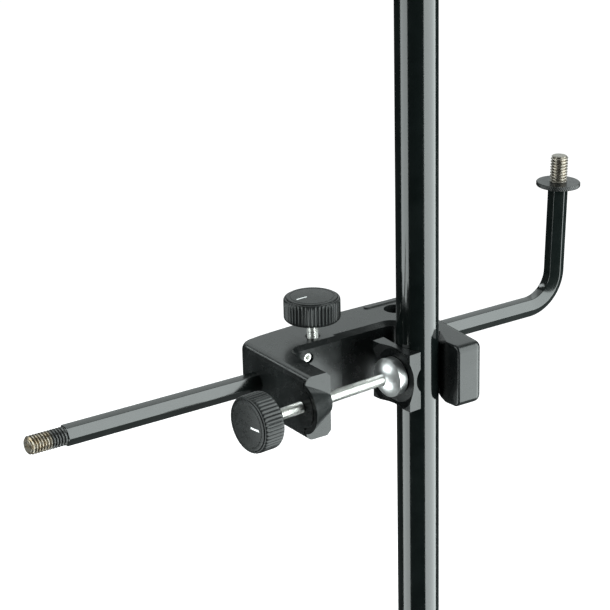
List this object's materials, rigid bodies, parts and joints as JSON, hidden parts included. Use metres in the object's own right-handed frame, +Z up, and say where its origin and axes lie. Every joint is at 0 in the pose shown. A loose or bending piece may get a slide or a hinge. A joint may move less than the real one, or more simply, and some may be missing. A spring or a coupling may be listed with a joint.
{
  "type": "stand side arm clamp",
  "caption": "Screw clamp on an upright stand tube, holding a sliding hexagonal side arm with an upturned threaded stud and a threaded tail.",
  "frame": {"origin": "centre of the upright tube's lower end", "axes": "+Z up the tube, +X along the side arm towards its upturned end, -Y towards the open front of the clamp"},
  "size_m": [0.3437, 0.0815, 0.346],
  "materials": {
    "tube_black": "gloss black powder coat",
    "cast_black": "satin black die casting",
    "rod_black": "black coated steel, bare at the thread tips",
    "zinc_steel": "bright zinc plate",
    "polished_steel": "polished plate",
    "knob_black": "moulded, fluted rim",
    "cap_black": "semi-gloss moulded disc",
    "ring_black": "blackened steel, knurled rim",
    "pad_brass": "plain turned"
  },
  "bodies": {
    "stand": {"stand_tube": "tube_black"},
    "clamp": {"clamp_body": "cast_black", "grub_screw": "zinc_steel"},
    "arm": {"arm_rod": "rod_black"},
    "lock_ring": {"lock_ring": "ring_black"},
    "jaw": {"movable_jaw": "cast_black", "dome_cap": "polished_steel", "swivel_ball": "polished_steel"},
    "clamp_spindle": {"clamp_screw": "zinc_steel", "clamp_knob": "knob_black", "clamp_knob_cap": "cap_black"},
    "lock_pad": {"rod_pad": "pad_brass"},
    "lock_spindle": {"top_screw": "zinc_steel", "top_knob": "knob_black", "top_knob_cap": "cap_black"}
  },
  "joints": [
    {"name": "clamp_height", "type": "slide", "parent": "stand", "child": "clamp", "axis": [0, 0, 1], "range_m": [-0.115, 0.18]},
    {"name": "arm_slide", "type": "slide", "parent": "clamp", "child": "arm", "axis": [1, 0, 0], "range_m": [-0.065, 0.1]},
    {"name": "ring_spin", "type": "hinge", "parent": "arm", "child": "lock_ring", "pos_m": [0.12353, 0.036, 0.2096], "axis": [0.0419, 0, 0.9991], "continuous": true},
    {"name": "jaw_travel", "type": "slide", "parent": "clamp", "child": "jaw", "axis": [0.9962, 0.0872, 0], "range_m": [-0.034, 0]},
    {"name": "clamp_spin", "type": "hinge", "parent": "jaw", "child": "clamp_spindle", "pos_m": [-0.00017, 0.00199, 0.142], "axis": [0.9962, 0.0872, 0], "range_deg": [-12300, 60]},
    {"name": "lock_travel", "type": "slide", "parent": "clamp", "child": "lock_pad", "axis": [0, 0, 1], "range_m": [0, 0.008]},
    {"name": "lock_spin", "type": "hinge", "parent": "lock_pad", "child": "lock_spindle", "pos_m": [-0.0408, 0.036, 0.142], "axis": [0, 0, 1], "range_deg": [-60, 2940]}
  ],
  "couplings": [
    {"joint": "clamp_spin", "follows": "jaw_travel", "rad_per_m": 6283.2},
    {"joint": "lock_spin", "follows": "lock_travel", "rad_per_m": 6283.2}
  ]
}
